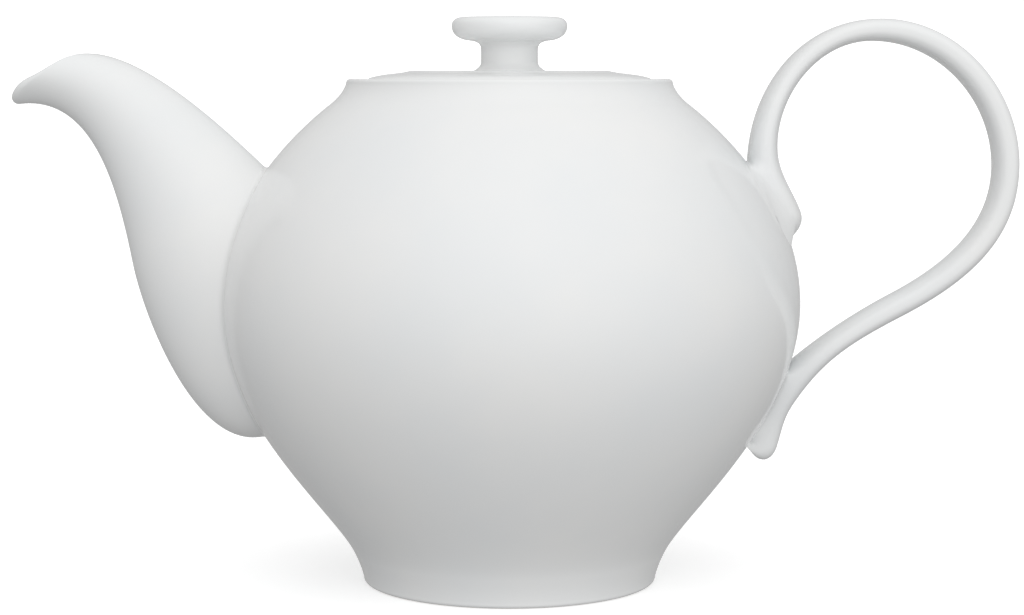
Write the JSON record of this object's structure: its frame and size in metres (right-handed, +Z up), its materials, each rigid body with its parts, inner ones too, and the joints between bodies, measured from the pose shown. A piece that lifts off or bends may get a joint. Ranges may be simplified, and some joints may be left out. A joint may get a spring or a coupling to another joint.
{
  "type": "teapot",
  "caption": "Round-bellied glazed porcelain teapot with a tall horn spout, a looped strap handle and a recessed lift-off lid with a mushroom knob.",
  "frame": {"origin": "on the vessel's axis, at the underside of the foot ring", "axes": "+Z up; -X towards the spout and +X towards the handle, which is the longest extent"},
  "size_m": [0.2623, 0.1514, 0.1479],
  "materials": {
    "porcelain": "gloss"
  },
  "bodies": {
    "pot": {"pot_body": "porcelain", "spout": "porcelain", "handle": "porcelain"},
    "cover": {"lid": "porcelain", "lid_knob": "porcelain"}
  },
  "joints": [
    {"name": "lid_lift", "type": "slide", "parent": "pot", "child": "cover", "axis": [0, 0, 1], "range_m": [0, 0.06]}
  ]
}
